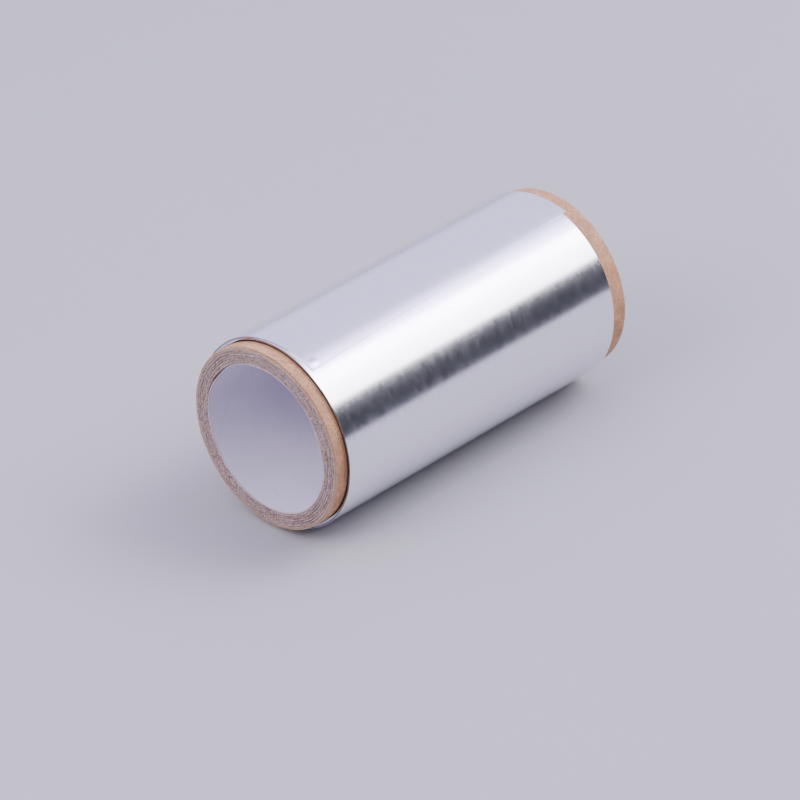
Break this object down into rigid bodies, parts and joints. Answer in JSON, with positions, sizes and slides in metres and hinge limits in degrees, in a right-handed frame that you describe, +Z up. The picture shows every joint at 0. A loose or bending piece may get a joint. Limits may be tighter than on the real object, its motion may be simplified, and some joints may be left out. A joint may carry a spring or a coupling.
{
  "type": "foil tape roll",
  "caption": "Wide roll of silver-coloured metal foil wound on a longer spiral paper core with a white-lined bore; the loose outer end of the foil peels up off the roll.",
  "frame": {"origin": "middle of the core's bore, on its axis", "axes": "+X along the bore towards the end with the wider bare margin, +Z up with the roll on its side; the foil comes over the top towards -Y"},
  "size_m": [0.1102, 0.0535, 0.0537],
  "materials": {
    "white_paper": "matte",
    "chipboard": "matte",
    "kraft_paper": "matte",
    "adhesive_strip": "gloss",
    "foil": "satin"
  },
  "bodies": {
    "root": {"core_liner": "white_paper", "core_ply_1": "chipboard", "core_ply_2": "chipboard", "core_ply_3": "chipboard", "core_ply_4": "chipboard", "core_ply_5": "chipboard", "core_ply_6": "chipboard", "core_wrap": "kraft_paper", "start_strip": "adhesive_strip", "foil_pack": "foil", "foil_outer_turn": "foil"},
    "tail_root": {"foil_tail_root": "foil"},
    "tail_middle": {"foil_tail_middle": "foil"},
    "tail_end": {"foil_tail_end": "foil"}
  },
  "joints": [
    {"name": "tail_lift", "type": "hinge", "parent": "root", "child": "tail_root", "pos_m": [0, 0.02196, 0.01538], "axis": [-1, 0, 0], "range_deg": [0, 30]},
    {"name": "tail_bend_middle", "type": "hinge", "parent": "tail_root", "child": "tail_middle", "pos_m": [0, 0.01341, 0.02323], "axis": [-1, 0, 0], "range_deg": [0, 30]},
    {"name": "tail_bend_end", "type": "hinge", "parent": "tail_middle", "child": "tail_end", "pos_m": [0, 0.00234, 0.02674], "axis": [-1, 0, 0], "range_deg": [0, 30]}
  ],
  "couplings": [
    {"joint": "tail_bend_middle", "follows": "tail_lift", "ratio": 1},
    {"joint": "tail_bend_end", "follows": "tail_lift", "ratio": 1}
  ]
}
